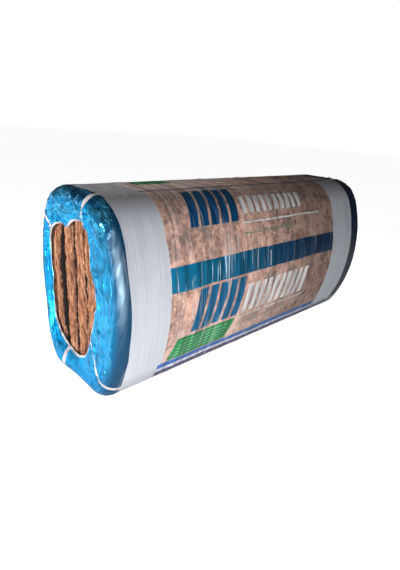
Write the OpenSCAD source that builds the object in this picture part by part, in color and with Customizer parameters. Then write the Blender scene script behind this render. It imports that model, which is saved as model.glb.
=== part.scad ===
// Pack of mineral wool boards standing on edge in a shrunk film sleeve
// X runs along the boards, Y across the stack, Z up; the pack stands on Z = 0

/* [Boards] */
// Length of a board
board_l = 1250; // [1000:10:1400]
// Width of a board, which is its height as it stands in the pack
board_w = 600; // [540:5:650]
// Mean thickness of a board as pressed in the pack, at mid-height
board_t = 60; // [54:1:70]
// Number of boards, counted from the front
board_count = 7; // [6:1:9]
// Gap between neighbouring boards
board_gap = 1.5; // [0.5:0.5:3]
// Widest opening of the parted gap, at mid-height
parted_gap = 36; // [4:1:50]
// Number of boards in front of the parted gap
boards_before_gap = 5; // [1:1:5]
// How far the parted gap is pushed back from where even boards would leave it
gap_shift = 14; // [-20:1:20]
// Share by which the stack is squeezed together along its top and bottom edges
edge_squeeze = 0.35; // [0:0.05:0.5]

/* [Film sleeve] */
// Wall of the film
film_t = 1; // [0.6:0.1:1.5]
// Clearance between film and boards
film_clearance = 0.3; // [0.2:0.1:0.6]
// How far the film stands out past the ends of the boards
film_overhang = 15; // [10:1:25]
// Radius of the shoulder where the film turns in over an end
shoulder_r = 40; // [30:1:50]
// Radius of the bulged front and back
side_r = 546; // [480:2:900]
// Radius of the section's upper corners
top_corner_r = 130; // [80:2:150]
// Radius of the section's lower corners
bottom_corner_r = 100; // [70:2:140]

/* [Gathered ends] */
// Width of the opening left in an end
opening_w = 268; // [200:2:280]
// Height of the opening
opening_h = 430; // [300:2:440]
// Middle of the opening, measured back from the middle of the stack
opening_y = 26; // [-30:1:30]
// Middle of the opening, measured up from mid-height
opening_z = 8; // [-20:1:20]
// Depth of the pleats that gather the film round the opening
pleat_depth = 3; // [0:0.5:4]
// Number of pleats round an end
pleat_count = 17; // [8:1:24]

/* [Hidden] */
// Steps along each stretch of the outline and round the shoulder
flat_steps = 3;
corner_steps = 7;
side_steps = 14;
shoulder_steps = 4;
end_steps = 4;
slab_steps = 10;
// Torn edge of the opening: angle from the back through the top, and reach against an ellipse
opening_reach = [
    [-180, 1.00], [-150, 0.88], [-120, 1.02], [-80, 1.00], [-35, 1.14], [0, 0.97], [35, 1.15],
    [65, 0.95], [82, 0.83], [115, 1.10], [130, 1.16], [152, 0.92], [172, 1.01], [180, 1.00]
];

skin = film_t + film_clearance;
pack_l = board_l + 2 * film_overhang;
pack_h = board_w + 2 * skin;
mid_z = pack_h / 2;
core_half = (board_count * board_t + (board_count - 2) * board_gap + parted_gap) / 2;
pack_half = core_half + skin;

// The side arc is tangent to both corner arcs, and the corners are tangent to the flats
side_y = pack_half - side_r;
top_half = side_y + sqrt(pow(side_r - top_corner_r, 2) - pow(mid_z - top_corner_r, 2));
bottom_half = side_y + sqrt(pow(side_r - bottom_corner_r, 2) - pow(mid_z - bottom_corner_r, 2));
high_angle = atan2(mid_z - top_corner_r, top_half - side_y);
low_angle = -atan2(mid_z - bottom_corner_r, bottom_half - side_y);

function mix(a, b, share) = a + (b - a) * share;

function arc(centre, r, from, to, steps) =
    [for (k = [0 : steps - 1])
        let (a = mix(from, to, k / steps))
        centre + r * [cos(a), sin(a)]];

// Back half of the pack's section, from bottom to top, drawn in by inset
function half_outline(inset) = concat(
    [for (k = [0 : flat_steps - 1]) [bottom_half * k / flat_steps, inset]],
    arc([bottom_half, bottom_corner_r], bottom_corner_r - inset, -90, low_angle, corner_steps),
    arc([side_y, mid_z], side_r - inset, low_angle, high_angle, side_steps),
    arc([top_half, pack_h - top_corner_r], top_corner_r - inset, high_angle, 90, corner_steps),
    [for (k = [0 : flat_steps - 1]) [top_half * (1 - k / flat_steps), pack_h - inset]]
);

// Whole section, once round
function outline(inset) =
    let (half = half_outline(inset))
    concat(half, [[0, pack_h - inset]], [for (k = [len(half) - 1 : -1 : 1]) [-half[k].x, half[k].y]]);

outline_points = len(outline(0));

function ring(x, section) = [for (p = section) [x, p.x, p.y]];

// Two triangles for each cell between one ring and the next
function cells(ring_from, ring_to) =
    [for (k = [0 : outline_points - 1])
        let (
            next = (k + 1) % outline_points,
            a = ring_from * outline_points,
            b = ring_to * outline_points
        )
        each [[a + k, b + k, a + next], [a + next, b + k, b + next]]];

// Middle of the opening in the pack's section
opening_middle = [opening_y, mid_z + opening_z];

// Point on the edge of the end opening, on the ray from its middle towards p
function opening_point(p) =
    let (
        ray = p - opening_middle,
        a = atan2(ray.y / opening_h, ray.x / opening_w)
    )
    opening_middle + lookup(a, opening_reach) / 2 * [opening_w * cos(a), opening_h * sin(a)];

// Section of the film over an end, a share of the way in from the shoulder to the opening
function gathered_section(inset, share) =
    [for (p = outline(inset)) mix(p, opening_point(p), share)];

// How far the film over an end sinks back towards the boards
function dish(share) = (film_overhang - skin) * (1 - cos(90 * share));

function pleat(k, share) = pleat_depth * sin(180 * share) * sin(360 * pleat_count * k / outline_points);

// One ring of the film over an end: side is -1 near and 1 far, wall is 0 outside and film_t inside
function end_ring(side, wall, share) =
    let (section = gathered_section(shoulder_r, share))
    [for (k = [0 : outline_points - 1])
        [side * (pack_l / 2 - wall - dish(share) + pleat(k, share)), section[k].x, section[k].y]];

// One ring of a shoulder, at angle a between the length and the end
function shoulder_ring(side, wall, a) =
    let (r = shoulder_r - wall)
    ring(side * (pack_l / 2 - shoulder_r + r * sin(a)), outline(shoulder_r - r * cos(a)));

// Rings of both shoulders, from the near end to the far one
function shoulder_rings(wall) = concat(
    [for (k = [shoulder_steps : -1 : 0]) shoulder_ring(-1, wall, 90 * k / shoulder_steps)],
    [for (k = [0 : shoulder_steps]) shoulder_ring(1, wall, 90 * k / shoulder_steps)]
);

// All rings of one face of the film, from the near opening to the far one
function skin_rings(wall) = concat(
    [for (k = [end_steps : -1 : 1]) end_ring(-1, wall, k / end_steps)],
    shoulder_rings(wall),
    [for (k = [1 : end_steps]) end_ring(1, wall, k / end_steps)]
);

module film_sleeve() {
    inside = skin_rings(film_t);
    rings = concat(skin_rings(0), [for (k = [len(inside) - 1 : -1 : 0]) inside[k]]);
    color([0.16, 0.55, 0.80, 0.6])
        polyhedron(
            points = [for (r = rings) each r],
            faces = [for (r = [0 : len(rings) - 1]) each cells(r, (r + 1) % len(rings))]
        );
}

// The room inside the film, closed flat at both ends
module stack_core() {
    rings = shoulder_rings(skin);
    last = len(rings) - 1;
    near_middle = len(rings) * outline_points;
    far_middle = near_middle + 1;
    end_x = pack_l / 2 - skin;
    polyhedron(
        points = concat(
            [for (r = rings) each r],
            [[-end_x, 0, mid_z], [end_x, 0, mid_z]]
        ),
        faces = concat(
            [for (r = [0 : last - 1]) each cells(r, r + 1)],
            [for (k = [0 : outline_points - 1]) [near_middle, k, (k + 1) % outline_points]],
            [for (k = [0 : outline_points - 1])
                [far_middle, last * outline_points + (k + 1) % outline_points, last * outline_points + k]]
        )
    );
}

// Share of a gap's width that is left at height z: full at mid-height, none at the edges
function lens(z) = 1 - pow((z - mid_z) / mid_z, 2);

// Gap number i lies in front of board i, counted from 0
function gap_at(i, z) = i == boards_before_gap ? mix(board_gap, parted_gap, lens(z)) : board_gap;

// Share of the parted gap's shift that reaches gap i
function shift_share(i) =
    i <= boards_before_gap ? i / boards_before_gap : (board_count - i) / (board_count - boards_before_gap);

// Middle line of gap i at height z
function gap_y(i, z) =
    let (
        before = -core_half + i * (board_t + board_gap) - board_gap / 2,
        parted = i < boards_before_gap ? 0 : i == boards_before_gap ? 0.5 : 1,
        even = before + parted * (parted_gap - board_gap)
    )
    (even + gap_shift * shift_share(i)) * (1 - edge_squeeze * (1 - lens(z)));

function board_front(i, z) = i == 0 ? -2 * core_half : gap_y(i, z) + gap_at(i, z) / 2;

function board_back(i, z) = i == board_count - 1 ? 2 * core_half : gap_y(i + 1, z) - gap_at(i + 1, z) / 2;

// One board: the part of the core between the gap in front of it and the gap behind it
module board(i) {
    heights = [for (k = [0 : slab_steps]) pack_h * k / slab_steps];
    front = [for (z = heights) [board_front(i, z), z]];
    back = [for (k = [slab_steps : -1 : 0]) [board_back(i, heights[k]), heights[k]]];
    color([0.66, 0.44, 0.30])
        intersection() {
            stack_core();
            translate([-board_l / 2, 0, 0])
                rotate([90, 0, 90])
                    linear_extrude(board_l) polygon(concat(front, back));
        }
}

film_sleeve();
for (i = [0 : board_count - 1]) {
    board(i);
}
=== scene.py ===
# Wrapped pack of mineral wool boards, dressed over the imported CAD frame
import math
import random

import bpy
import numpy as np
from mathutils import Matrix, Vector, noise


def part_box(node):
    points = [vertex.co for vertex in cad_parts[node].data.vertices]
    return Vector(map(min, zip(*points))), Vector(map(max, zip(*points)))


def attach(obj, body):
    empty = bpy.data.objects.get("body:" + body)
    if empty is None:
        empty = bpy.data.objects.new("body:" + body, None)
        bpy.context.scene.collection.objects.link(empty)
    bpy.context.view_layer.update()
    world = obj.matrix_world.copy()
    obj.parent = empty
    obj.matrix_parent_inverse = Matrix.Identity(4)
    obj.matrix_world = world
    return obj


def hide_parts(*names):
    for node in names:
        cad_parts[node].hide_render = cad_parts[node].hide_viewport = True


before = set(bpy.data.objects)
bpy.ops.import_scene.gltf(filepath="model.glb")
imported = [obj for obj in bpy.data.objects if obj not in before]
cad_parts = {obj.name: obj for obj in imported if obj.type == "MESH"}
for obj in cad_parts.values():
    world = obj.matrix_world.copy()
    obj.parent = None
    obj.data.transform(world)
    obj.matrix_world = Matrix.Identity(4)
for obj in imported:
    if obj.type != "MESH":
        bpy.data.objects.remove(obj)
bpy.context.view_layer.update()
print("frame loaded")

# Metres: x along the boards, y across the stack towards the back, z up
pack = {
    "skin": 0.0013,
    "overhang": 0.015,
    "shoulderRadius": 0.040,
    "sideRadius": 0.546,
    "topCornerRadius": 0.130,
    "bottomCornerRadius": 0.100,
    "boardThickness": 0.060,
    "boardGap": 0.0015,
    "partedGap": 0.036,
    "boardsBeforeGap": 5,
    "gapShift": 0.014,
    "edgeSqueeze": 0.35,
    # Steps along a flat, a corner and a side of the section
    "sectionSteps": (40, 120, 200),
}

boardNodes = sorted(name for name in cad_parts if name.startswith("board_"))
boardCount = len(boardNodes)
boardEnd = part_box("board_1")[1].x
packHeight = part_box("film_sleeve")[1].z
midHeight = packHeight / 2
packEnd = boardEnd + pack["overhang"]
bodyEnd = packEnd - pack["shoulderRadius"]
coreHalf = (
    boardCount * pack["boardThickness"]
    + (boardCount - 2) * pack["boardGap"]
    + pack["partedGap"]
) / 2
packHalf = coreHalf + pack["skin"]


# Section of the pack


def arcSamples(centre, radius, start, end, steps):
    angle = np.linspace(start, end, steps)
    across, up = np.cos(angle), np.sin(angle)
    return np.stack([centre[0] + radius * across, centre[1] + radius * up, across, up])


def flatSamples(start, end, height, up, steps):
    across = np.linspace(start, end, steps)
    return np.stack([across, np.full(steps, height), np.zeros(steps), np.full(steps, up)])


# Back half of the section from the bottom to the top: y, z and the outward normal
def halfSection():
    side, top, bottom = (pack[key] for key in ("sideRadius", "topCornerRadius", "bottomCornerRadius"))
    sideY = packHalf - side
    topHalf = sideY + math.sqrt((side - top) ** 2 - (midHeight - top) ** 2)
    bottomHalf = sideY + math.sqrt((side - bottom) ** 2 - (midHeight - bottom) ** 2)
    high = math.atan2(midHeight - top, topHalf - sideY)
    low = -math.atan2(midHeight - bottom, bottomHalf - sideY)
    flatSteps, cornerSteps, sideSteps = pack["sectionSteps"]
    pieces = [
        flatSamples(0, bottomHalf, 0, -1, flatSteps),
        arcSamples((bottomHalf, bottom), bottom, -math.pi / 2, low, cornerSteps),
        arcSamples((sideY, midHeight), side, low, high, sideSteps),
        arcSamples((topHalf, packHeight - top), top, high, math.pi / 2, cornerSteps),
        flatSamples(topHalf, 0, packHeight, 1, flatSteps),
    ]
    return np.concatenate(pieces, axis=1)


section = halfSection()
sectionSteps = np.hypot(np.diff(section[0]), np.diff(section[1]))
sectionGirth = np.concatenate([[0], np.cumsum(sectionSteps)])
lowGirth = float(np.interp(midHeight, section[1], sectionGirth))
topGirth = float(sectionGirth[-1]) - lowGirth
wholeGirth = 2 * (lowGirth + topGirth)


# Girth runs from 0 at the front's mid-height up over the top, to the bottom centre at either end
def sectionAt(girth, inset):
    onBack = girth > topGirth
    fromBottom = lowGirth + np.where(onBack, 2 * topGirth - girth, girth)
    y, z, normalY, normalZ = (np.interp(fromBottom, sectionGirth, row) for row in section)
    side = np.where(onBack, 1.0, -1.0)
    return side * (y - inset * normalY), z - inset * normalZ, side * normalY, normalZ


# Tools for meshes


def setMode(mode):
    bpy.ops.object.mode_set(mode=mode)


def deselectAll():
    if bpy.context.object and bpy.context.object.mode != "OBJECT":
        setMode("OBJECT")
    bpy.ops.object.select_all(action="DESELECT")


def newGrid(name, xCells, yCells, size):
    deselectAll()
    bpy.ops.mesh.primitive_grid_add(x_subdivisions=xCells, y_subdivisions=yCells, size=size)
    piece = bpy.context.object
    piece.name = name
    return piece


def vertexPlaces(mesh):
    places = np.empty(len(mesh.vertices) * 3)
    mesh.vertices.foreach_get("co", places)
    return places.reshape(-1, 3)


def setVertexPlaces(mesh, places):
    mesh.vertices.foreach_set("co", np.ascontiguousarray(places, dtype=np.float64).ravel())
    mesh.update()


def addValues(mesh, name, values):
    layer = mesh.attributes.new(name, "FLOAT", "POINT")
    layer.data.foreach_set("value", np.asarray(values, dtype=np.float32))


def smoothStep(value, low, high):
    share = np.clip((value - low) / (high - low), 0, 1)
    return share * share * (3 - 2 * share)


# Flat facets that meet in creases, like the roofs of many small houses
def facetNoise(points):
    heights = []
    for point in points:
        near, far = noise.voronoi(Vector(point))[0][:2]
        heights.append(far - near)
    return np.array(heights)


# Creased noise with sharp ridges, from 0 to about 1
def ridgeNoise(points, octaves):
    return np.array([1 - noise.turbulence(Vector(p), octaves, True) for p in points])


def softNoise(points):
    return np.array([noise.noise(Vector(p)) for p in points])


def finishPiece(piece, nodes, angle):
    deselectAll()
    piece.select_set(True)
    bpy.context.view_layer.objects.active = piece
    bpy.ops.object.shade_smooth_by_angle(angle=math.radians(angle))
    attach(piece, "root")
    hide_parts(*nodes)


# Tools for materials


def tone(red, green, blue):
    linear = []
    for level in (red / 255, green / 255, blue / 255):
        linear.append(level / 12.92 if level <= 0.04045 else ((level + 0.055) / 1.055) ** 2.4)
    return (*linear, 1.0)


# The node tree that is being built
work = {}


def feed(socket, value):
    if isinstance(value, bpy.types.NodeSocket):
        work["tree"].links.new(value, socket)
    else:
        socket.default_value = value


def fill(node, values):
    for name, value in values.items():
        feed(node.inputs[name], value)


def addNode(kind, settings=None, **inputs):
    node = work["tree"].nodes.new("ShaderNode" + kind)
    for name, value in (settings or {}).items():
        setattr(node, name, value)
    fill(node, inputs)
    return node


def vectorCalc(operation, *values, kind="VectorMath"):
    node = addNode(kind, {"operation": operation})
    for socket, value in zip(node.inputs, values):
        feed(socket, value)
    return node.outputs


def calc(operation, *values):
    return vectorCalc(operation, *values, kind="Math")[0]


def gained(value, gain, base):
    return calc("MULTIPLY_ADD", value, gain, base)


def inverse(share):
    return calc("SUBTRACT", 1.0, share)


# The whole where the share is 0, and less by the amount where it is 1
def lessBy(share, amount, whole=1.0):
    return gained(share, -amount, whole)


# First value where the share is 0, and second where it is 1
def between(share, first, second):
    return gained(calc("SUBTRACT", second, first), share, first)


def both(first, *others):
    for other in others:
        first = calc("MULTIPLY", first, other)
    return first


def either(first, *others):
    for other in others:
        first = calc("MAXIMUM", first, other)
    return first


def rise(value, low, high):
    node = addNode("MapRange", {"interpolation_type": "SMOOTHSTEP"}, Value=value)
    fill(node, {"From Min": low, "From Max": high})
    return node.outputs[0]


# 1 between low and high, with soft edges
def band(value, low, high, edge=0.001):
    return calc("SUBTRACT", rise(value, low - edge, low + edge), rise(value, high - edge, high + edge))


def blend(share, below, above):
    node = addNode("Mix", {"data_type": "RGBA"})
    for index, value in ((0, share), (6, below), (7, above)):
        feed(node.inputs[index], value)
    return node.outputs[2]


def scaledColour(colour, value):
    return addNode("VectorMath", {"operation": "SCALE"}, Vector=colour, Scale=value).outputs["Vector"]


def stretched(vector, x, y, z):
    return addNode("Mapping", Vector=vector, Scale=(x, y, z)).outputs["Vector"]


def pointValue(name):
    return addNode("Attribute", {"attribute_name": name}).outputs["Fac"]


def axesOf(vector):
    return addNode("SeparateXYZ", Vector=vector).outputs


# Noise from a row of settings: scale along each axis, detail, roughness and distortion
def grain(vector, row, output="Fac"):
    scale, *look = row
    node = addNode("TexNoise", Vector=stretched(vector, *scale), Scale=1.0)
    fill(node, dict(zip(("Detail", "Roughness", "Distortion"), look)))
    return node.outputs[output]


# Heights of small flat facets, each with its own tilt
def tiltedFacets(vector):
    cells = addNode("TexVoronoi", Vector=vector, Scale=1.0).outputs
    fromCentre = vectorCalc("SUBTRACT", vector, cells["Position"])["Vector"]
    tilt = vectorCalc("SUBTRACT", cells["Color"], (0.5, 0.5, 0.5))["Vector"]
    return vectorCalc("DOT_PRODUCT", fromCentre, tilt)["Value"]


def bumpNormal(height, look):
    node = addNode("Bump", Height=height, Strength=look["bumpStrength"], Distance=look["bumpDepth"])
    return node.outputs["Normal"]


# Narrow raised lines out of a noise value
def ridges(value, sharpness):
    return calc("POWER", inverse(calc("ABSOLUTE", gained(value, 2.0, -1.0))), sharpness)


def colourRamp(value, stops):
    node = addNode("ValToRGB", Fac=value)
    marks = node.color_ramp.elements
    while len(marks) < len(stops):
        marks.new(0.5)
    for mark, (place, colour) in zip(marks, stops):
        mark.position = place
        mark.color = colour
    return node.outputs["Color"]


def newMaterial(name):
    material = bpy.data.materials.new(name)
    material.use_nodes = True
    work["tree"] = material.node_tree
    return material, material.node_tree.nodes["Principled BSDF"]


# Wool boards

wool = {
    "acrossCells": 28,
    "heightCells": 190,
    "jointCrowding": 0.65,
    "stations": (0.0, 0.004, 0.012, 0.025, 0.09, 0.2, 0.34, 0.48),
    "endCrackDepth": 0.006,
    "endLumps": 0.0035,
    "endUnevenness": 0.004,
    "edgeRounding": 0.010,
    "edgeReach": 0.0040,
    "tornLength": 0.09,
    # How open each joint between two boards is at the ends, from the front
    "jointOpenness": (0.3, 0.3, 0.5, 1.1, 2.4, 0.6, 0.6, 0.3),
    "crackWander": 0.004,
    "crackSpacing": (150, 6),
    "crackCut": (1.6, 0.75),
    # Noises over the torn ends: scale along each axis, shift, and step from one end to the other
    "lumpNoise": ((0, 110, 60), (3, 5), 1),
    "swellNoise": ((0, 30, 7), (9, 2), 2),
    "raggedNoise": ((0, 0, 30), (1, 4), 3),
    "finerRaggedNoise": ((0, 0, 110), (6, 2), 5),
    "finerShare": 0.6,
    "raggedGain": 1.5,
    "raggedRange": (0.1, 2.2),
    "sideRoughness": 0.0006,
    "sideNoiseScale": 45,
    # Painted shade in the joints where they open, in the cracks, and on the faces of the parted gap
    "jointRange": (0.2, 0.8),
    "crackPaintedShade": 0.35,
    "sidePaintedShade": 2,
    "gapPaintedShade": 2.5,
    "heightSamples": 1201,
    "smoothAngle": 55,
    "seed": 11,
}

woolTones = {
    "shadow": tone(34, 16, 10),
    "dark": tone(104, 60, 38),
    "middle": tone(176, 116, 82),
    "light": tone(228, 178, 140),
    "faceDark": tone(104, 66, 50),
    "faceMiddle": tone(194, 136, 110),
    "faceLight": tone(244, 198, 174),
    # A coarse and a finer noise, as rows for grain, and the share of the finer one
    "endNoise": (((9.0, 190.0, 30.0), 6, 0.62, 0.4), ((230.0, 340.0, 200.0), 3, 0.7, 2.0), 0.9),
    "faceNoise": (((17.0, 17.0, 15.0), 5, 0.62, 0.7), ((95.0, 90.0, 80.0), 3, 0.6, 0.8), 0.65),
    "endStops": ((0.14, "shadow"), (0.32, "dark"), (0.47, "middle"), (0.70, "light")),
    "faceStops": ((0.10, "shadow"), (0.38, "faceDark"), (0.49, "faceMiddle"), (0.61, "faceLight")),
    # How much the painted shade of the joints, cracks and parted gap darkens the ends and the faces
    "endPaintedShade": 0.60,
    "facePaintedShade": 0.25,
    # Painted shade: the faces of the boards are darker towards the far end, as less light falls there:
    # where that starts and ends, and how much
    "farPaintedShade": (-0.18, 0.30, 0.55),
    "roughness": 0.95,
    "specular": 0.15,
    "bumpStrength": 0.8,
    "bumpDepth": 0.004,
}


def lens(z):
    return 1 - ((z - midHeight) / midHeight) ** 2


# Middle of gap number index, counted from the front, at height z
def gapMiddle(index, z):
    before = -coreHalf + index * (pack["boardThickness"] + pack["boardGap"]) - pack["boardGap"] / 2
    last = pack["boardsBeforeGap"]
    parted = 0 if index < last else 0.5 if index == last else 1
    even = before + parted * (pack["partedGap"] - pack["boardGap"])
    share = index / last if index <= last else (boardCount - index) / (boardCount - last)
    return (even + pack["gapShift"] * share) * (1 - pack["edgeSqueeze"] * (1 - lens(z)))


def gapHalf(index, z):
    if index != pack["boardsBeforeGap"]:
        return pack["boardGap"] / 2
    return (pack["boardGap"] + (pack["partedGap"] - pack["boardGap"]) * lens(z)) / 2


# Half width of the room inside the film at height z
def roomHalf(z, inset):
    y, height = section[0] - inset * section[2], section[1] - inset * section[3]
    return np.interp(z, height, y)


def boardFaces(index, z, inset):
    room = roomHalf(z, inset)
    front = -room if index == 0 else np.maximum(gapMiddle(index, z) + gapHalf(index, z), -room)
    lastBoard = index == boardCount - 1
    back = room if lastBoard else np.minimum(gapMiddle(index + 1, z) - gapHalf(index + 1, z), room)
    return front, back


# Inset of the room at x, which draws in under the shoulders of the film
def roomInset(x):
    past = max(0.0, abs(x) - bodyEnd)
    radius = pack["shoulderRadius"]
    return radius - math.sqrt((radius - pack["skin"]) ** 2 - past**2)


# Lowest and highest z of a board at one share of its thickness
def heightRange(index, share, inset):
    z = np.linspace(inset, packHeight - inset, wool["heightSamples"])
    front, back = boardFaces(index, z, inset)
    y = front + share * (back - front)
    inside = (back > front) & (np.abs(y) < roomHalf(z, inset) + 1e-9)
    return z[inside][0], z[inside][-1]


# Soft noise over the ends of a board, different at either end
def endNoise(ends, offset, row):
    scale, shift, step = row
    return softNoise(ends * scale + (offset, *shift) + np.sign(ends[:, :1]) * (step, 0, 0))


def shapeBoard(mesh, index, places):
    low = places.min(axis=0)
    span = places.max(axis=0) - low
    across, height, along = ((places - low) / span).T
    # Cells crowd towards the joints, where the edges of the boards are torn
    steps = np.linspace(0, 1, wool["acrossCells"] + 1)
    shareTable = steps - wool["jointCrowding"] * np.sin(2 * math.pi * steps) / (2 * math.pi)
    stations = list(wool["stations"])
    levels = np.round(along * (2 * len(stations) - 1)).astype(int)
    stationX = [s - boardEnd for s in stations] + [boardEnd - s for s in reversed(stations)]
    shares = np.round(across * wool["acrossCells"]).astype(int)
    across = shareTable[shares]
    result = np.empty_like(places)
    for level, x in enumerate(stationX):
        inset = roomInset(x)
        lows, highs = np.array([heightRange(index, share, inset) for share in shareTable]).T
        here = levels == level
        z = lows[shares[here]] + height[here] * (highs - lows)[shares[here]]
        front, back = boardFaces(index, z, inset)
        y = front + across[here] * (back - front)
        result[here] = np.stack([np.full(len(z), x), y, z], axis=1)
    atEnd = (levels == 0) | (levels == levels.max())
    fromEnd = boardEnd - np.abs(result[:, 0])
    torn = fromEnd < wool["tornLength"]
    fade = 1 - fromEnd[torn] / wool["tornLength"]
    ends = result[torn]
    endSide = np.sign(ends[:, 0])
    offset = wool["seed"] * 3.7 + index * 5.3
    # Cracks between the layers run up the board and wander sideways
    wander = wool["crackWander"] * softNoise(ends * (0, 4, 9) + (offset, 0, endSide[0]))
    acrossScale, upScale = wool["crackSpacing"]
    layerY, layerZ = (ends[:, 1] + wander) * acrossScale, ends[:, 2] * upScale
    layer = np.stack([endSide * 4 + offset, layerY, layerZ], axis=1)
    crackGain, crackLoss = wool["crackCut"]
    cracks = np.clip(ridgeNoise(layer, 2) * crackGain - crackLoss, 0, 1)
    lumps = 0.5 + 0.5 * endNoise(ends, offset, wool["lumpNoise"])
    swell = 0.5 + 0.5 * endNoise(ends, offset, wool["swellNoise"])
    ragged = endNoise(ends, offset, wool["raggedNoise"])
    ragged += wool["finerShare"] * endNoise(ends, offset, wool["finerRaggedNoise"])
    ragged = np.clip(1 + wool["raggedGain"] * ragged, *wool["raggedRange"])
    fromFront = across[torn] * pack["boardThickness"]
    fromBack = (1 - across[torn]) * pack["boardThickness"]
    openFront, openBack = wool["jointOpenness"][index:index + 2]
    reach = wool["edgeReach"]
    joint = ragged * (openFront * np.exp(-fromFront / reach) + openBack * np.exp(-fromBack / reach))
    depth = (
        wool["endCrackDepth"] * cracks
        + wool["endLumps"] * lumps
        + wool["endUnevenness"] * swell
        + wool["edgeRounding"] * joint
    )
    ends[:, 0] -= endSide * depth * fade
    result[torn] = ends
    sides = ~atEnd
    fuzz = softNoise(result[sides] * wool["sideNoiseScale"] + offset) - 1
    middle = (across[sides] - 0.5) * 2
    result[sides, 1] -= np.sign(middle) * np.abs(middle) ** 4 * wool["sideRoughness"] * -fuzz / 2
    setVertexPlaces(mesh, result)
    # Painted shade: open joints, cracks and the torn sides of the boards are darkened where shadow falls
    paintedShade = np.zeros(len(places))
    openJoint = smoothStep(joint, *wool["jointRange"])
    paintedShade[torn] = np.maximum(openJoint, wool["crackPaintedShade"] * cracks) * fade
    paintedShade[sides & torn] *= wool["sidePaintedShade"]
    # Painted shade: the two faces of the parted gap are darkened, as they lie in shadow
    if index == pack["boardsBeforeGap"] - 1:
        paintedShade[sides & (across > 0.99)] = wool["gapPaintedShade"]
    if index == pack["boardsBeforeGap"]:
        paintedShade[sides & (across < 0.01)] = wool["gapPaintedShade"]
    addValues(mesh, "paintedShade", paintedShade)
    addValues(mesh, "endFace", atEnd.astype(float))


def makeBoard(index):
    piece = newGrid(f"wool_board_{index + 1}", wool["acrossCells"], wool["heightCells"], 1)
    setMode("EDIT")
    bpy.ops.mesh.select_all(action="SELECT")
    for step in range(2 * len(wool["stations"]) - 1):
        bpy.ops.mesh.extrude_region_move(TRANSFORM_OT_translate={"value": (0, 0, 0.1)})
    setMode("OBJECT")
    shapeBoard(piece.data, index, vertexPlaces(piece.data))
    setMode("EDIT")
    bpy.ops.mesh.select_all(action="SELECT")
    bpy.ops.mesh.remove_doubles(threshold=1e-6)
    bpy.ops.mesh.normals_make_consistent(inside=False)
    setMode("OBJECT")
    piece.data.materials.append(woolMaterial)
    finishPiece(piece, [boardNodes[index]], wool["smoothAngle"])
    return piece


# Pattern and colours of the ends or the faces, darkened by the painted shade of the joints, cracks and
# parted gap
def woolLook(spot, part):
    coarse, fine, fineShare = woolTones[part + "Noise"]
    fineValue = calc("SUBTRACT", grain(spot, fine), 0.5)
    pattern = gained(fineValue, fineShare, grain(spot, coarse))
    pattern = lessBy(pointValue("paintedShade"), woolTones[part + "PaintedShade"], pattern)
    ramp = [(place, woolTones[name]) for place, name in woolTones[part + "Stops"]]
    return pattern, colourRamp(pattern, ramp)


def makeWoolMaterial():
    material, shader = newMaterial("pressedWool")
    spot = addNode("TexCoord").outputs["Object"]
    endFace = pointValue("endFace")
    endPattern, endColour = woolLook(spot, "end")
    facePattern, faceColour = woolLook(spot, "face")
    # Painted shade: the faces darken towards the far end, standing in for the light's falloff
    shadeStart, shadeEnd, shadeDepth = woolTones["farPaintedShade"]
    farShare = rise(axesOf(spot)["X"], shadeStart, shadeEnd)
    faceColour = scaledColour(faceColour, lessBy(farShare, shadeDepth))
    fill(shader, {
        "Base Color": blend(endFace, faceColour, endColour),
        "Roughness": woolTones["roughness"],
        "Specular IOR Level": woolTones["specular"],
        "Normal": bumpNormal(between(endFace, facePattern, endPattern), woolTones),
    })
    return material


woolMaterial = makeWoolMaterial()
boards = [makeBoard(index) for index in range(boardCount)]
print("wool boards:", len(boards))


# Film wrap

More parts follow.
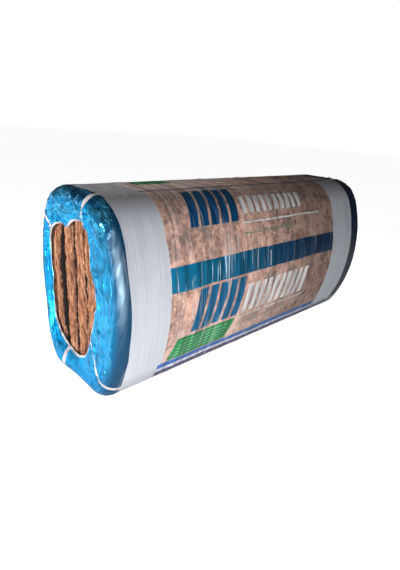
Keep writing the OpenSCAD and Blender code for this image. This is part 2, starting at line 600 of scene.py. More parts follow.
wrap = {
    "wall": 0.0005,
    "roundSteps": 300,
    "bodySteps": 80,
    "shoulderSteps": 12,
    "endSteps": 24,
    "endReach": 0.110,
    "dish": 0.0137,
    "openingMiddle": (0.026, 0.3093),
    "openingSize": (0.268, 0.430),
    # Angle from the back through the top, and reach against an ellipse
    "openingReach": (
        (-180, 1.00), (-150, 0.88), (-120, 1.02), (-80, 1.00), (-35, 1.14), (0, 0.97), (35, 1.15),
        (65, 0.95), (82, 0.83), (115, 1.10), (130, 1.16), (152, 0.92), (172, 1.01), (180, 1.00),
    ),
    "tornEdge": 0.004,
    "tornScale": 34,
    # Hem: height of its roll, how far in it lies and how wide it is
    "hemRoll": (0.003, 0.005, 0.004),
    # Width of its pale ink: least, more over and under the opening, more towards the front, unevenness
    "hemWidth": (0.0003, 0.0030, 0.0026, 0.0010),
    # Creases on the body, and the ranges that each is drawn from
    "creaseCount": 110,
    "creaseHeight": 0.0016,
    # Along, girth, length, width, slope, wave, strength
    "creaseRanges": (
        (-0.60, 0.60), (-lowGirth, 2 * topGirth + lowGirth), (0.06, 0.20), (0.007, 0.013),
        (-0.10, 0.10), (0, 6), (0.25, 1.0),
    ),
    "creaseSway": (0.003, 40),
    "creaseFade": (-0.02, 0.03),
    # The first crease is the marked one: along, girth, length, width, slope, strength
    "firstCrease": (-0.230, 0.12, 0.11, 0.008, 0.02, 1.6),
    # Folds on the ends, and the ranges that each is drawn from
    "foldCount": 420,
    "foldHeight": 0.0045,
    "foldPast": (0.015, 0.17),
    "foldTurn": 0.6,
    # Half length, half width, strength
    "foldRanges": ((0.02, 0.075), (0.003, 0.007), (-0.5, 1.0)),
    # Crumple on the ends: where it starts and is full, and how much sooner it starts on top
    "crumpleZone": (0.005, 0.08),
    "crumpleTop": (0.48, 0.58),
    "topLead": 0.04,
    "crumpleHeight": 0.012,
    "coarseFacets": ((16, 20, 24), (3, 1, 7)),
    "fineFacets": ((34, 40, 46), (5, 8, 2)),
    "facetFront": (0.06, 0.12),
    "facetStretch": (0.2, 0.9, -0.4),
    "facetShares": (0.7, 0.35, 0.2),
    "pleatHeight": 0.004,
    "pleatCount": 11,
    "pleatSway": (1.6, 2.5),
    # Where the film is bunched: high up and on the front, how far up it is there, and its share
    "bunchedHigh": (0.30, 0.50),
    "bunchedFront": (0.03, 0.12),
    "bunchedFrontHigh": (0.02, 0.16),
    "bunchedFrontShare": 0.9,
    "bunchedLeast": 0.22,
    # Bulge low at the back of the near end: size and where it fades
    "lowBulge": 0.010,
    "bulgeBack": (0.0, 0.12),
    "bulgeHigh": (0.08, 0.24),
    "bulgePast": 0.05,
    "deepestDent": 0.0002,
    "paleCrease": 0.004,
    "smoothAngle": 30,
    "flatSize": (1.79, 1.57),
    "seed": 5,
}


def openingEdge(y, z):
    middleY, middleZ = wrap["openingMiddle"]
    width, height = wrap["openingSize"]
    angle = np.arctan2((z - middleZ) / height, (y - middleY) / width)
    turns, reaches = np.array(wrap["openingReach"]).T
    reach = np.interp(np.degrees(angle), turns, reaches) / 2
    return middleY + reach * width * np.cos(angle), middleZ + reach * height * np.sin(angle)


# Positions along the film from the near opening over the pack to the far one
def filmStations():
    shoulder = pack["shoulderRadius"] * math.pi / 2
    body = np.linspace(0, bodyEnd, wrap["bodySteps"] // 2 + 1)
    turn = bodyEnd + np.linspace(0, shoulder, wrap["shoulderSteps"] + 1)[1:]
    end = bodyEnd + shoulder + np.linspace(0, wrap["endReach"], wrap["endSteps"] + 1)[1:]
    half = np.concatenate([body[1:], turn, end])
    return np.concatenate([-half[::-1], [0], half])


# Smooth film over body, shoulder and end: places, outward normals, share of the way in to the opening
def wrapFilm(u, v):
    radius = pack["shoulderRadius"]
    side = np.sign(u)
    past = np.maximum(np.abs(u) - bodyEnd, 0)
    angle = np.minimum(past / radius, math.pi / 2)
    share = np.clip((past - radius * math.pi / 2) / wrap["endReach"], 0, 1)
    y, z, normalY, normalZ = sectionAt(v, radius * (1 - np.cos(angle)))
    edgeY, edgeZ = openingEdge(y, z)
    scale = wrap["tornScale"]
    torn = wrap["tornEdge"] * softNoise(np.stack([side * 3, edgeY * scale, edgeZ * scale], axis=1))
    away = np.hypot(edgeY - y, edgeZ - z)
    reach = share * (1 + torn / np.maximum(away, 0.01))
    x = side * (np.minimum(np.abs(u), bodyEnd) + radius * np.sin(angle))
    x -= side * wrap["dish"] * (1 - np.cos(share * math.pi / 2))
    places = np.stack([x, y + reach * (edgeY - y), z + reach * (edgeZ - z)], axis=1)
    normals = np.stack([side * np.sin(angle), normalY * np.cos(angle), normalZ * np.cos(angle)], axis=1)
    return places, normals, share, away * (1 - share)


# Creases that run round the girth of the pack, as shrinking leaves them
def creaseHeights(u, v):
    draw = random.Random(wrap["seed"])
    swayWidth, swayCount = wrap["creaseSway"]
    height = np.zeros(len(u))
    for number in range(wrap["creaseCount"]):
        drawn = [draw.uniform(*ends) for ends in wrap["creaseRanges"]]
        middleU, middleV, length, width, slope, wave, strength = drawn
        if number == 0:
            middleU, middleV, length, width, slope, strength = wrap["firstCrease"]
        along = v - middleV
        across = u - middleU - slope * along - swayWidth * np.sin(wave + along * swayCount)
        height += strength * np.exp(-((across / width) ** 2)) * np.exp(-((along / length) ** 4))
    return wrap["creaseHeight"] * height


# Turn about the middle of the opening: 0 at the back, rising over the top
def openingTurn(places):
    middleY, middleZ = wrap["openingMiddle"]
    return np.arctan2(places[:, 2] - middleZ, places[:, 1] - middleY)


# Width of the pale hem round the opening: widest over and under it, narrow at the back
def hemWidths(places):
    turn = openingTurn(places)
    ragged = softNoise(places * 26 + (7, 0, 0))
    least, upright, frontward, uneven = wrap["hemWidth"]
    return least + upright * np.sin(turn) ** 2 + frontward * (1 - np.cos(turn)) + uneven * ragged


# The film is bunched most over the top of an end and least low at the back
def bunchedFilm(places):
    high = smoothStep(places[:, 2], *wrap["bunchedHigh"])
    onFront = smoothStep(-places[:, 1], *wrap["bunchedFront"])
    onFront *= smoothStep(places[:, 2], *wrap["bunchedFrontHigh"])
    least = wrap["bunchedLeast"]
    return least + (1 - least) * np.maximum(high, wrap["bunchedFrontShare"] * onFront)


# Sharp folds where the film is gathered over an end, most of them running in to the opening
def foldHeights(u, v):
    draw = random.Random(wrap["seed"] + 1)
    height = np.zeros(len(u))
    for number in range(wrap["foldCount"]):
        middleU = draw.choice((-1, 1)) * (bodyEnd + draw.uniform(*wrap["foldPast"]))
        middleV = draw.uniform(-lowGirth, wholeGirth - lowGirth)
        turn = draw.gauss(0, wrap["foldTurn"])
        halfLength, halfWidth, strength = (draw.uniform(*ends) for ends in wrap["foldRanges"])
        fromU = u - middleU
        fromV = (v - middleV + wholeGirth / 2) % wholeGirth - wholeGirth / 2
        along = fromU * math.cos(turn) + fromV * math.sin(turn)
        across = fromV * math.cos(turn) - fromU * math.sin(turn)
        taper = np.clip(1 - (along / halfLength) ** 2, 0, None) ** 2
        height += strength * taper * np.exp(-np.abs(across) / halfWidth)
    return wrap["foldHeight"] * height


def endHeights(places, share, hemDistance, u, v):
    onTop = wrap["topLead"] * smoothStep(places[:, 2], *wrap["crumpleTop"])
    start, full = wrap["crumpleZone"]
    amount = smoothStep(np.abs(u) + onTop, bodyEnd + start, bodyEnd + full)
    height = np.zeros(len(u))
    ends = amount > 0
    here, endShare = places[ends], share[ends]
    bunched = bunchedFilm(here)
    onFront = smoothStep(-here[:, 1], *wrap["facetFront"])[:, None]
    stretch = 1 + onFront * wrap["facetStretch"]
    coarse, fine = (
        facetNoise(here * scale * stretch + shift)
        for scale, shift in (wrap["coarseFacets"], wrap["fineFacets"])
    )
    coarseShare, fineShare, lower = wrap["facetShares"]
    crumple = wrap["crumpleHeight"] * bunched * (coarseShare * coarse + fineShare * fine - lower)
    turn = openingTurn(here)
    swayHeight, swayTurn = wrap["pleatSway"]
    sway = swayHeight * softNoise(np.stack([np.cos(turn) * 2, np.sin(turn) * 2, endShare * 1.5], axis=1))
    pleats = 1 - np.abs(np.sin(turn * wrap["pleatCount"] + swayTurn * sway))
    crumple += wrap["pleatHeight"] * bunched * pleats**2 * smoothStep(endShare, 0.0, 0.7)
    crumple += bunched * foldHeights(u[ends], v[ends])
    rollHeight, rollIn, rollWidth = wrap["hemRoll"]
    roll = np.exp(-(((hemDistance[ends] - rollIn) / rollWidth) ** 2)) * (endShare > 0)
    settle = 1 - 0.8 * smoothStep(endShare, 0.75, 1.0)
    height[ends] = amount[ends] * crumple * settle + rollHeight * roll
    return height


def makeFilm():
    stations = filmStations()
    piece = newGrid("film_wrap", len(stations) - 1, wrap["roundSteps"], 2)
    mesh = piece.data
    flat = vertexPlaces(mesh)
    columns = np.round((flat[:, 0] + 1) / 2 * (len(stations) - 1)).astype(int)
    u = stations[columns]
    v = -lowGirth + (flat[:, 1] + 1) / 2 * wholeGirth
    sheetMap = mesh.uv_layers[0]
    sheetMap.name = "flatSheet"
    corners = np.empty(len(mesh.loops), dtype=np.int32)
    mesh.loops.foreach_get("vertex_index", corners)
    sheetMap.data.foreach_set("uv", np.stack([u[corners], v[corners]], axis=1).astype(np.float32).ravel())
    places, normals, share, hemDistance = wrapFilm(u, v)
    # Low at the back of the near end the film bulges out
    lowBack = smoothStep(places[:, 1], *wrap["bulgeBack"])
    lowBack *= 1 - smoothStep(places[:, 2], *wrap["bulgeHigh"])
    overEnd = smoothStep(-u, bodyEnd, bodyEnd + wrap["bulgePast"]) * (1 - smoothStep(share, 0.5, 1.0))
    places[:, 0] -= wrap["lowBulge"] * lowBack * overEnd
    fadeStart, fadeEnd = wrap["creaseFade"]
    creases = creaseHeights(u, v) * (1 - smoothStep(np.abs(u), bodyEnd + fadeStart, bodyEnd + fadeEnd))
    ends = endHeights(places, share, hemDistance, u, v)
    wholeHeight = np.maximum(creases + ends, -wrap["deepestDent"])
    places += normals * wholeHeight[:, None]
    places[:, 2] = np.clip(places[:, 2], 0.0, None)
    setVertexPlaces(mesh, places)
    addValues(mesh, "bunched", bunchedFilm(places))
    addValues(mesh, "crease", np.clip(wholeHeight / wrap["paleCrease"], 0, 1))
    addValues(mesh, "hem", np.where(share > 0, hemDistance / np.maximum(hemWidths(places), 0.001), 10.0))
    setMode("EDIT")
    bpy.ops.mesh.select_all(action="SELECT")
    bpy.ops.mesh.remove_doubles(threshold=1e-5)
    setMode("OBJECT")
    topFace = max(mesh.polygons, key=lambda face: face.center.z - abs(face.center.x))
    if topFace.normal.z < 0:
        setMode("EDIT")
        bpy.ops.mesh.flip_normals()
        setMode("OBJECT")
    wall = piece.modifiers.new("wall", "SOLIDIFY")
    wall.thickness = wrap["wall"]
    wall.offset = -1
    bpy.ops.object.modifier_apply(modifier=wall.name)
    mesh.materials.append(filmMaterial)
    finishPiece(piece, ["film_sleeve"], wrap["smoothAngle"])
    return piece


# Places on the flat film in metres: along the pack, and girth from the front's mid-height
filmPrint = {
    "blueEnd": -0.595,
    "nearWhiteEnd": -0.463,
    "farWhiteStart": 0.396,
    "navyStart": 0.549,
    "stripe": (0.044, 0.119),
    "stripeDivider": (-0.0215, -0.0185, 0.051, 0.105),
    # Where the stripe's painted shade sets in towards the far end
    "stripeShadeFade": (-0.45, 0.30),
    # Where the near blue turns to the painted shade of the shoulders
    "shoulderShadeFade": (-0.675, -0.625),
    # Lines along the pack: colour, where they end, low, high
    "lines": (
        ("lowLine", "farWhiteStart", -0.228, -0.206),
        ("paleLine", "farWhiteStart", -0.243, -0.230),
        ("darkLine", "navyStart", -0.276, -0.245),
        ("darkLine", "navyStart", 0.366, 0.374),
    ),
    "lineOverlap": 0.01,
    # Painted shade: the white ink thins out over the upper corners, so the wool darkens the top of the
    # band; it thins less over the lower ones, and in streaks
    "whiteTop": (0.26, 0.38, 0.85),
    "whiteBottom": (-0.20, -0.25, 0.30),
    "whiteStreaks": (0.42, 0.72, 0.12),
    # Noises, as rows for grain, and how far the print wobbles along and round the pack
    "inkStreaks": ((90.0, 3.0, 1.0), 3, 0.6, 0.3),
    "wobble": ((7.0, 7.0, 1.0), 2, 0.5, 0.0),
    "wobbleSize": (0.014, 0.012),
    # Middle and half width
    "cornerLines": ((-0.245, 0.006), (0.372, 0.010), (0.675, 0.006), (1.270, 0.008)),
    "panel": (-0.442, -0.188, -0.202, -0.117),
    "panelSlant": 0.25,
    "panelInset": (0.02, -0.03, 0.012, -0.012),
    "panelRulePitch": 0.0135,
    "panelRuleCut": 0.72,
    "topPatch": (-0.418, -0.269, 0.471, 0.518),
    # Rows of plain slanted bars: start, end, low, high, number of bars, filled share, colour
    "barRows": (
        (-0.373, -0.165, 0.216, 0.345, 5, 0.76, "barBlue"),
        (-0.149, 0.190, 0.239, 0.299, 10, 0.62, "barWhite"),
        # The lower row's blue is painted lighter than the upper row's, as painted reflection
        (-0.379, -0.160, -0.105, 0.036, 5, 0.76, "barTeal"),
        (-0.152, 0.220, -0.103, 0.004, 10, 0.62, "barWhite"),
    ),
    "barSlant": 0.18,
    "barEdge": 0.02,
    # Marked pull wrinkles, in the relief and as painted glints: along, low, high, half width, strength
    "pullLines": (
        (-0.230, 0.00, 0.17, 0.0028, 1.0),
        (-0.345, -0.10, 0.13, 0.0016, 0.5),
        (-0.085, 0.02, 0.21, 0.0022, 0.8),
        (0.030, -0.14, 0.10, 0.0016, 0.4),
        (0.170, 0.03, 0.24, 0.0016, 0.4),
    ),
    "pullBow": (24.0, 0.003),
    "pullSpread": 1.6,
    "pullFade": 0.03,
    # Ruled lines: start, end, low, high, colour
    "rules": (
        (-0.149, 0.300, 0.207, 0.213, "barWhite"),
        (-0.154, 0.133, 0.173, 0.176, "green"),
        (-0.160, 0.146, -0.152, -0.149, "green"),
        (-0.152, 0.240, -0.122, -0.117, "barWhite"),
    ),
}

looks = {
    "haze": tone(230, 210, 202),
    "white": tone(206, 210, 218),
    "blue": tone(0, 148, 208),
    # The near blue painted darker on the shoulders, as shade
    "shoulderBlueShaded": tone(6, 64, 100),
    # Painted highlight and stress whitening along the creases of the ends
    "creaseWhiteningAndGlint": tone(90, 196, 236),
    "navy": tone(20, 34, 66),
    # Stripe ink at the near end, and painted darker at the far end as shade
    "stripeNear": tone(10, 98, 134),
    "stripeFarShaded": tone(8, 42, 76),
    "lowLine": tone(44, 100, 168),
    "paleLine": tone(196, 198, 216),
    "darkLine": tone(44, 62, 104),
    "green": tone(38, 128, 70),
    "panelRule": tone(120, 180, 138),
    "barBlue": tone(14, 68, 110),
    # The bar blue painted lighter for the lower row, as painted reflection
    "barTeal": tone(20, 92, 134),
    "barWhite": tone(214, 212, 212),
    "hem": tone(208, 198, 198),
    # Opacity of the clear film: at the near and the far end of the clear zone, lower far off as painted
    # falloff of the light on its haze, and added at a grazing angle, partly as painted reflection
    "clearAlpha": (0.13, 0.04),
    "grazingAlpha": 0.48,
    "grazingFade": 0.85,
    "creaseAlpha": 0.30,
    "creaseShare": 0.6,
    # How much the veil fades towards the far end, as painted falloff of the light, and its share at the
    # near one
    "veilFade": (0.45, 0.6),
    "inkAlpha": 0.98,
    "inkSheen": 0.64,
    "sheenTint": (0.62, 0.86, 1.0, 1.0),
    "specular": 0.22,
    # Roughness: gain over a noise, and least
    "roughness": (0.20, 0.14),
    "shoulderRoughness": (0.20, 0.06),
    # Painted glints along the wrinkles: tone, share, and how much they fade towards the far end
    "glint": tone(226, 232, 236),
    "glintShare": 0.68,
    "glintFade": 0.6,
    # Painted light and shade of the ripples: gain, and least
    "rippleShade": (0.85, 0.68),
    # Painted shade in the valleys of the ends, and the share of the painted highlights and whitening along
    # their creases
    "valleyShade": 0.45,
    "creaseWhiteningAndGlintShare": 0.45,
}

relief = {
    # Noises, as rows for grain
    "patches": ((7.0, 6.0, 1.0), 2, 0.5, 0.0),
    "ripples": ((72.0, 4.0, 1.0), 2, 0.5, 0.5),
    "crinkles": ((42.0, 13.0, 1.0), 2, 0.5, 0.8),
    "shoulderStreaks": ((85.0, 9.0, 1.0), 2, 0.5, 0.3),
    "creases": ((34.0, 7.0, 1.0), 2, 0.5, 0.8),
    "valleys": ((15.0, 16.0, 1.0), 2, 0.5, 1.2),
    "veil": ((48.0, 7.0, 1.0), 3, 0.6, 1.0),
    "bends": ((16.0, 16.0, 12.0), 1, 0.5, 0.0),
    "dullness": ((12.0, 12.0, 12.0), 3, 0.5, 0.0),
    # Fine and broad wrinkles: noise, range of their lines, range of their patches, share
    "wrinkles": (
        (((150.0, 3.2, 1.0), 2, 0.6, 0.1), (0.53, 0.70), (0.35, 0.60), 0.8),
        (((70.0, 2.4, 1.0), 1, 0.5, 0.2), (0.61, 0.76), (0.60, 0.40), 0.7),
    ),
    # Ranges over which something sets in
    "rippleRange": (0.32, 0.68),
    "streakRange": (0.40, 0.62),
    "valleyRange": (0.54, 0.36),
    "veilRange": (0.45, 0.72),
    "glintRange": (0.1, 1.0),
    "grazingRange": (0.35, 0.90),
    # Shares in the relief
    "crinkleShare": 0.25,
    "rippleShare": 0.5,
    "printFlattening": 0.75,
    "streakShare": 0.4,
    "streakSlant": -0.30,
    "creaseShare": 0.8,
    "crinkleSharpness": 1.2,
    "creaseSharpness": 9.0,
    # Facets on the ends: scales at the sides and on top, where the top starts, height gained where bunched
    "facetScales": ((44.0, 44.0, 19.0), (44.0, 36.0, 66.0)),
    "facetSway": (1.2, 1.2, 0.8),
    "facetTop": (0.42, 0.50),
    "facetHeight": (4.2, 0.9),
    "bumpStrength": 0.6,
    "bumpDepth": 0.004,
    # Zones past the end of the body, which start sooner on top, and the zone that fades to the far end
    "shoulderZone": (-0.012, 0.010),
    "endZone": (0.026, 0.064),
    "topZone": (0.50, 0.58),
    "topLead": 0.05,
    "farZone": (-0.45, 0.35),
}


def boxMask(u, g, place):
    left, right, low, high = place
    return both(band(u, left, right), band(g, low, high))


# Place along the pack on lines that lean as the girth rises from low
def leaning(u, g, low, slant):
    return gained(calc("SUBTRACT", g, low), -slant, u)


# A row of plain slanted bars
def barMask(u, g, row):
    start, end, low, high, count, filled = row
    lean = leaning(u, g, low, filmPrint["barSlant"])
    pitch = (end - start) / count
    place = calc("FRACT", calc("DIVIDE", calc("SUBTRACT", lean, start), pitch))
    bar = band(place, (1 - filled) / 2, (1 + filled) / 2, filmPrint["barEdge"])
    return both(bar, boxMask(lean, g, (start, end, low, high)))


def panelMask(u, g, place):
    return boxMask(leaning(u, g, place[2], filmPrint["panelSlant"]), g, place)


def pullMask(u, v):
    turns, width = filmPrint["pullBow"]
    bow = both(calc("SINE", both(v, turns)), width)
    bowed = calc("ADD", u, bow)
    lines = 0.0
    for along, low, high, half, strength in filmPrint["pullLines"]:
        away = calc("ABSOLUTE", calc("SUBTRACT", bowed, along))
        core = inverse(rise(away, 0.0, half * filmPrint["pullSpread"]))
        line = both(core, band(v, low, high, filmPrint["pullFade"]), strength)
        lines = either(lines, line)
    return lines


# Colour of the print, where it is, the printed ends and the blue ink of the near end
def printLayers(sheet, u, v, hem):
    place = filmPrint
    wobble = grain(sheet, place["wobble"], "Color")
    shift = addNode("SeparateColor", Color=wobble).outputs
    shiftU, shiftV = place["wobbleSize"]
    u = calc("ADD", u, gained(shift[0], shiftU, -shiftU / 2))
    v = calc("ADD", v, gained(shift[1], shiftV, -shiftV / 2))
    fold = calc("ABSOLUTE", calc("SUBTRACT", v, topGirth))
    g = calc("SUBTRACT", topGirth, fold)
    clearZone = band(u, place["nearWhiteEnd"], place["farWhiteStart"])
    printedEnd = inverse(clearZone)
    nearEnd = calc("LESS_THAN", u, place["blueEnd"])
    farEnd = calc("GREATER_THAN", u, place["navyStart"])
    ends = either(nearEnd, farEnd)
    streaks = grain(sheet, place["inkStreaks"])
    # The white ink thins over the corners, as painted shade at the top, and in streaks
    thin = 0.0
    for value, name in ((g, "whiteTop"), (g, "whiteBottom"), (streaks, "whiteStreaks")):
        start, full, amount = place[name]
        thin = either(thin, both(rise(value, start, full), amount))
    ink = both(printedEnd, inverse(both(thin, inverse(ends))))
    # Painted shade: the blue is darker on the shoulders, which turn away from the light
    nearTone = blend(rise(u, *place["shoulderShadeFade"]), looks["blue"], looks["shoulderBlueShaded"])
    colour = blend(printedEnd, looks["haze"], looks["white"])
    colour = blend(nearEnd, colour, nearTone)
    colour = blend(farEnd, colour, looks["navy"])
    stripe = both(clearZone, band(g, *place["stripe"]))
    # Painted shade: the stripe's ink darkens towards the far end, where less light falls
    stripeShare = rise(u, *place["stripeShadeFade"])
    stripeTone = blend(stripeShare, looks["stripeNear"], looks["stripeFarShaded"])
    marks = [(stripeTone, stripe), (looks["barWhite"], boxMask(u, g, place["stripeDivider"]))]
    lineStart = place["nearWhiteEnd"] - place["lineOverlap"]
    for name, lineEnd, low, high in place["lines"]:
        marks.append((looks[name], boxMask(u, g, (lineStart, place[lineEnd], low, high))))
    for *row, name in place["barRows"]:
        marks.append((looks[name], barMask(u, g, row)))
    for *box, name in place["rules"]:
        marks.append((looks[name], boxMask(u, g, box)))
    marks.append((looks["green"], panelMask(u, g, place["panel"])))
    inner = [edge + inset for edge, inset in zip(place["panel"], place["panelInset"])]
    waves = calc("SINE", both(g, 2 * math.pi / place["panelRulePitch"]))
    ruled = calc("GREATER_THAN", waves, place["panelRuleCut"])
    marks.append((looks["panelRule"], both(panelMask(u, g, inner), ruled)))
    marks.append((looks["green"], boxMask(u, v, place["topPatch"])))
    for markTone, mask in marks:
        colour = blend(mask, colour, markTone)
        ink = either(ink, mask)
    pale = calc("LESS_THAN", hem, 1.0)
    for middle, half in place["cornerLines"]:
        pale = either(pale, both(ends, band(v, middle - half, middle + half)))
    colour = blend(pale, colour, looks["hem"])
    return colour, ink, printedEnd, both(nearEnd, inverse(pale))


# Wrinkles that run round the girth, fine in some patches and broad in others, and the marked pulls
def wrinkleLines(sheet, u, v):
    patches = grain(sheet, relief["patches"])
    lines = pullMask(u, v)
    for row, lineRange, patchRange, share in relief["wrinkles"]:
        line = rise(grain(sheet, row), *lineRange)
        lines = either(lines, both(line, rise(patches, *patchRange), share))
    return lines


# Relief of the body, flatter where it is printed, and of the shoulders, where it runs slantwise
def bodyRelief(sheet, wrinkles, ripples, streaks, printedEnd, onShoulder):
    crinkles = grain(sheet, relief["crinkles"])
    crinkles = ridges(crinkles, relief["crinkleSharpness"])
    heights = gained(crinkles, relief["crinkleShare"], wrinkles)
    heights = gained(ripples, relief["rippleShare"], heights)
    heights = both(heights, lessBy(printedEnd, relief["printFlattening"]))
    return between(onShoulder, heights, both(streaks, relief["streakShare"]))


# Relief of the ends, where the film crumples into flat facets and sharp creases
def endRelief(spot, upward, bunched, creaseLines):
    bends = grain(spot, relief["bends"], "Color")
    facets = []
    for scale in relief["facetScales"]:
        cells = stretched(spot, *scale)
        swayed = vectorCalc("MULTIPLY_ADD", bends, relief["facetSway"], cells)["Vector"]
        facets.append(tiltedFacets(swayed))
    crumple = between(rise(upward, *relief["facetTop"]), *facets)
    crumple = both(crumple, gained(bunched, *relief["facetHeight"]))
    return gained(creaseLines, relief["creaseShare"], crumple)


def makeFilmMaterial():
    material, shader = newMaterial("printedFilm")
    sheet = addNode("UVMap", {"uv_map": "flatSheet"}).outputs["UV"]
    axes = axesOf(sheet)
    u, v = axes["X"], axes["Y"]
    crease, hem, bunched = (pointValue(name) for name in ("crease", "hem", "bunched"))
    colour, ink, printedEnd, blueInk = printLayers(sheet, u, v, hem)
    spot = addNode("TexCoord").outputs["Object"]
    upward = axesOf(spot)["Z"]
    past = calc("ABSOLUTE", u)
    onShoulder = rise(past, *(bodyEnd + edge for edge in relief["shoulderZone"]))
    onTop = rise(upward, *relief["topZone"])
    past = gained(onTop, relief["topLead"], past)
    onEnd = rise(past, *(bodyEnd + edge for edge in relief["endZone"]))
    onBody = inverse(onEnd)
    farShare = rise(u, *relief["farZone"])
    wrinkles = wrinkleLines(sheet, u, v)
    ripples = grain(sheet, relief["ripples"])
    slant = gained(v, relief["streakSlant"], u)
    slanted = addNode("CombineXYZ", X=slant, Y=v).outputs["Vector"]
    streaks = grain(slanted, relief["shoulderStreaks"])
    creaseLines = ridges(grain(sheet, relief["creases"]), relief["creaseSharpness"])
    body = bodyRelief(sheet, wrinkles, ripples, streaks, printedEnd, onShoulder)
    end = endRelief(spot, upward, bunched, creaseLines)
    normal = bumpNormal(between(onEnd, body, end), relief)
    # Painted light and shade: ripples lighten and darken the clear zone a little, and the wrinkles get
    # painted glints, which also whiten the film
    glints = both(rise(wrinkles, *relief["glintRange"]), inverse(onShoulder))
    glints = both(glints, lessBy(farShare, looks["glintFade"]))
    shade = rise(ripples, *relief["rippleRange"])
    shade = gained(shade, *looks["rippleShade"])
    colour = scaledColour(colour, between(inverse(printedEnd), 1.0, shade))
    colour = blend(both(glints, looks["glintShare"]), colour, looks["glint"])
    # On the ends, painted shade darkens the ink in patches standing for the valleys between the folds, and
    # painted highlights, partly stress whitening, pale it along the creases
    valleys = rise(grain(sheet, relief["valleys"]), *relief["valleyRange"])
    colour = scaledColour(colour, lessBy(both(valleys, onEnd), looks["valleyShade"]))
    pale = both(creaseLines, blueInk, onEnd, bunched, looks["creaseWhiteningAndGlintShare"])
    colour = blend(pale, colour, looks["creaseWhiteningAndGlint"])
    # The film's haze shows in a veil, on its creases and most where it is seen at a grazing angle, where it
    # also stands in as painted reflection; towards the far end it fades, as painted falloff of the light
    veil = rise(grain(sheet, relief["veil"]), *relief["veilRange"])
    veil = both(veil, lessBy(farShare, *looks["veilFade"]))
    whitened = either(glints, both(crease, onBody, looks["creaseShare"]), veil)
    nearAlpha, farAlpha = looks["clearAlpha"]
    clear = lessBy(farShare, nearAlpha - farAlpha, nearAlpha)
    facing = addNode("LayerWeight", Blend=0.5, Normal=normal).outputs["Facing"]
    grazing = rise(facing, *relief["grazingRange"])
    grazing = both(grazing, lessBy(farShare, looks["grazingFade"]))
    clear = gained(grazing, looks["grazingAlpha"], clear)
    clear = gained(whitened, looks["creaseAlpha"], clear)
    # The shoulders are duller, in streaks
    dull = grain(spot, relief["dullness"])
    roughness = gained(dull, *looks["roughness"])
    dullStreaks = rise(streaks, *relief["streakRange"])
    dullStreaks = gained(dullStreaks, *looks["shoulderRoughness"])
    roughness = gained(both(onShoulder, onBody), dullStreaks, roughness)
    fill(shader, {
        "Base Color": colour,
        "Alpha": either(clear, both(ink, looks["inkAlpha"])),
        "Roughness": roughness,
        "Specular IOR Level": looks["specular"],
        "Specular Tint": looks["sheenTint"],
        "Metallic": both(blueInk, onEnd, looks["inkSheen"]),
        "Normal": normal,
    })
    return material


filmMaterial = makeFilmMaterial()
film = makeFilm()
print("film wrap:", len(film.data.polygons), "faces")


# Floor, light and camera

stage = {
    "floorSize": 40.0,
    "floorTone": tone(250, 250, 250),
    "floorRoughness": 0.9,
    # Glow of the floor towards the camera, on the pack, and in reflections
    "floorSeen": 0.95,
    "floorGlow": 0.15,
    "floorMirrored": 0.12,
    # Pools of light that show in reflections: middle, reach and glow
    "pools": (
        ((-1.20, -0.52, 0.0), (0.42, 0.34), 3.0),
        ((-1.00, 0.30, 0.0), (0.40, 0.30), 0.9),
    ),
    "poolEdge": (0.55, 1.25),
    "worldLight": 0.05,
}

# Place, target, size, power, and the kind of light that each leaves out
lights = {
    "sideLight": ((-2.3, 0.20, 0.62), (-0.6, 0.0, 0.32), (1.2, 1.2), 44, "glossy"),
    "frontLight": ((-0.60, -1.20, 0.40), (-0.36, 0.0, 0.33), (0.5, 0.5), 6.4, "glossy"),
    "topLight": ((-0.45, 0.90, 1.25), (-0.25, 0.0, 0.60), (0.6, 0.6), 5.2, "glossy"),
    "glintLight": ((-1.22, -1.42, 0.40), (-0.62, -0.22, 0.32), (1.0, 0.7), 230, "diffuse"),
    "farLight": ((2.3, 0.30, 0.75), (0.6, 0.0, 0.30), (1.2, 1.2), 9, "glossy"),
    "overLight": ((-1.45, -0.25, 1.75), (-0.62, -0.15, 0.50), (1.2, 1.2), 5, "diffuse"),
    "backLight": ((-1.45, 1.60, 0.62), (-0.64, 0.0, 0.50), (1.0, 1.0), 8, "diffuse"),
}

viewpoint = {
    "place": (-1.1208, -1.0063, 0.7881),
    "heading": 44.6,
    "tilt": 21.9,
    "roll": 4.6,
    "lens": 25.27,
}


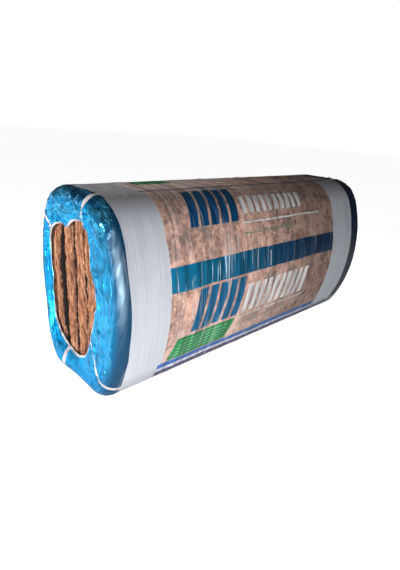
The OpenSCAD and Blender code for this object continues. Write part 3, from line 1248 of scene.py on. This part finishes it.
def makeFloor():
    deselectAll()
    bpy.ops.mesh.primitive_plane_add(size=stage["floorSize"])
    floor = bpy.context.object
    floor.name = "floor"
    material, shader = newMaterial("paleFloor")
    path = addNode("LightPath")
    place = addNode("TexCoord").outputs["Object"]
    base = stage["floorGlow"]
    mirrored = stage["floorMirrored"] - base
    for middle, (reachX, reachY), poolGlow in stage["pools"]:
        fromPool = vectorCalc("SUBTRACT", place, middle)["Vector"]
        fromPool = stretched(fromPool, 1 / reachX, 1 / reachY, 0.0)
        away = vectorCalc("LENGTH", fromPool)["Value"]
        pool = inverse(rise(away, *stage["poolEdge"]))
        mirrored = gained(pool, poolGlow, mirrored)
    glow = gained(path.outputs["Is Glossy Ray"], mirrored, base)
    glow = either(both(path.outputs["Is Camera Ray"], stage["floorSeen"]), glow)
    fill(shader, {
        "Base Color": stage["floorTone"],
        "Roughness": stage["floorRoughness"],
        "Emission Color": stage["floorTone"],
        "Emission Strength": glow,
    })
    floor.data.materials.append(material)


def makeWorld():
    world = bpy.data.worlds.new("studio")
    bpy.context.scene.world = world
    world.use_nodes = True
    work["tree"] = world.node_tree
    seen = addNode("LightPath").outputs["Is Camera Ray"]
    room = either(seen, stage["worldLight"])
    fill(world.node_tree.nodes["Background"], {"Color": (1, 1, 1, 1), "Strength": room})


def makeLights():
    for name, (place, target, size, power, leftOut) in lights.items():
        lamp = bpy.data.lights.new(name, "AREA")
        lamp.shape = "RECTANGLE"
        lamp.size, lamp.size_y = size
        lamp.energy = power
        holder = bpy.data.objects.new(name, lamp)
        bpy.context.scene.collection.objects.link(holder)
        holder.visible_diffuse = leftOut != "diffuse"
        holder.visible_glossy = leftOut != "glossy"
        holder.location = place
        aim = Vector(target) - Vector(place)
        holder.rotation_euler = aim.to_track_quat("-Z", "Y").to_euler()


def makeCamera():
    heading, tilt, roll = (math.radians(viewpoint[key]) for key in ("heading", "tilt", "roll"))
    flat = math.cos(tilt)
    forward = Vector((math.sin(heading) * flat, math.cos(heading) * flat, -math.sin(tilt)))
    level = Vector((math.cos(heading), -math.sin(heading), 0))
    upward = level.cross(forward)
    right = math.cos(roll) * level + math.sin(roll) * upward
    up = math.cos(roll) * upward - math.sin(roll) * level
    camera = bpy.data.objects.new("camera", bpy.data.cameras.new("camera"))
    bpy.context.scene.collection.objects.link(camera)
    camera.data.lens = viewpoint["lens"]
    turn = Matrix((right, up, -forward)).transposed().to_4x4()
    camera.matrix_world = Matrix.Translation(viewpoint["place"]) @ turn
    bpy.context.scene.camera = camera


makeFloor()
makeWorld()
makeLights()
makeCamera()
bpy.context.scene.view_settings.view_transform = "Standard"
print("stage set")
